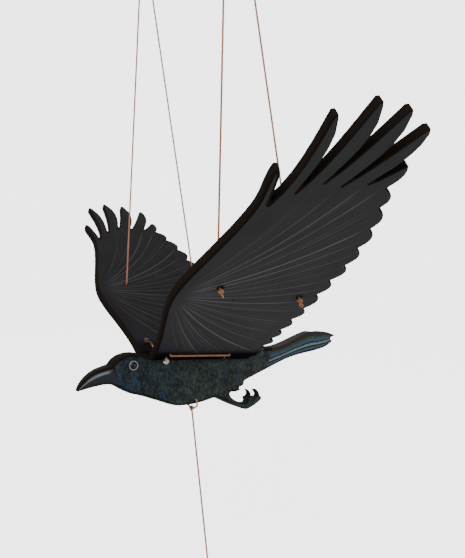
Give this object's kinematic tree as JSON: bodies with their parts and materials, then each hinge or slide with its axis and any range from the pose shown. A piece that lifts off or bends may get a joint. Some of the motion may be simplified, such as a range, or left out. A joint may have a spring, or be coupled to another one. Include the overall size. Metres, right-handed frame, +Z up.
{
  "type": "flapping bird mobile",
  "caption": "Hanging carved raven with board wings on cord hinges, hung from a spreader bar; pulling its cord makes the wings flap",
  "frame": {"origin": "centre of the hanging ring, straight above the spreader bar", "axes": "+Z up; the bird's beak points to -X and its tail to +X; its left wing is on the -Y side; the spreader bar lies along Y"},
  "size_m": [0.2887, 0.5064, 0.8207],
  "materials": {
    "ring_steel": "satin",
    "cord": "twisted waxed cord",
    "plain_wood": "oiled",
    "peg_wood": "bare",
    "wing_paint": "satin black stain with fine grey quill lines",
    "body_paint": "satin mottled dark green, blue and grey paint",
    "eye_ring_paint": "satin paint",
    "eye_black": "gloss"
  },
  "bodies": {
    "hanger": {"hanging_ring": "ring_steel", "hanging_loop": "cord"},
    "bar": {"hanging_cord": "cord", "bridle_knot": "cord", "spreader_bar": "plain_wood"},
    "left_cords": {"left_bar_loop": "cord", "left_front_cord": "cord", "left_rear_cord": "cord"},
    "left_wing_board": {"left_wing": "wing_paint", "left_cord_knots": "cord", "left_hinge_lacing": "cord"},
    "bird_body": {"body": "body_paint", "left_eye_ring": "eye_ring_paint", "left_eye_bead": "eye_black", "right_eye_ring": "eye_ring_paint", "right_eye_bead": "eye_black", "front_cross_cord": "cord", "rear_cross_cord": "cord", "left_cord_peg": "peg_wood", "right_cord_peg": "peg_wood"},
    "right_wing_board": {"right_wing": "wing_paint", "right_cord_knots": "cord", "right_hinge_lacing": "cord"},
    "right_cords": {"right_bar_loop": "cord", "right_front_cord": "cord", "right_rear_cord": "cord"},
    "pull": {"pull_loop": "cord", "pull_cord": "cord", "pull_weight": "plain_wood", "weight_knot": "cord"}
  },
  "joints": [
    {"name": "hanger_swivel", "type": "hinge", "parent": "hanger", "child": "bar", "pos_m": [0, 0, -0.024], "axis": [0, 0, 1], "range_deg": [-90, 90]},
    {"name": "left_cord_swing", "type": "hinge", "parent": "bar", "child": "left_cords", "pos_m": [0, -0.0918, -0.085], "axis": [0.9863, 0, -0.165], "range_deg": [-3.1, 2.79]},
    {"name": "left_wing_pivot", "type": "hinge", "parent": "left_cords", "child": "left_wing_board", "pos_m": [-0.03122, -0.09652, -0.48873], "axis": [0.9863, 0, -0.165], "range_deg": [-20.79, 23.1]},
    {"name": "wing_flap", "type": "hinge", "parent": "left_wing_board", "child": "bird_body", "pos_m": [-0.04206, -0.0154, -0.55351], "axis": [0.9863, 0, -0.165], "range_deg": [-20, 18], "stiffness_Nm_per_rad": 0.1, "springref_deg": -77.44},
    {"name": "right_wing_flap", "type": "hinge", "parent": "bird_body", "child": "right_wing_board", "pos_m": [-0.04206, 0.0154, -0.55351], "axis": [0.9863, 0, -0.165], "range_deg": [-20.01, 18.01], "stiffness_Nm_per_rad": 0.1, "springref_deg": 57.3},
    {"name": "right_wing_pivot", "type": "hinge", "parent": "right_wing_board", "child": "right_cords", "pos_m": [-0.03122, 0.09652, -0.48873], "axis": [0.9863, 0, -0.165], "range_deg": [-20.79, 23.1]},
    {"name": "pull_swing", "type": "hinge", "parent": "bird_body", "child": "pull", "pos_m": [-0.04498, 0, -0.5952], "axis": [0, 1, 0], "range_deg": [-20, 20]}
  ],
  "couplings": [
    {"joint": "left_cord_swing", "follows": "wing_flap", "ratio": 0.1545},
    {"joint": "left_wing_pivot", "follows": "wing_flap", "ratio": -1.1545},
    {"joint": "right_wing_flap", "follows": "wing_flap", "ratio": 1},
    {"joint": "right_wing_pivot", "follows": "wing_flap", "ratio": -1.1545}
  ]
}
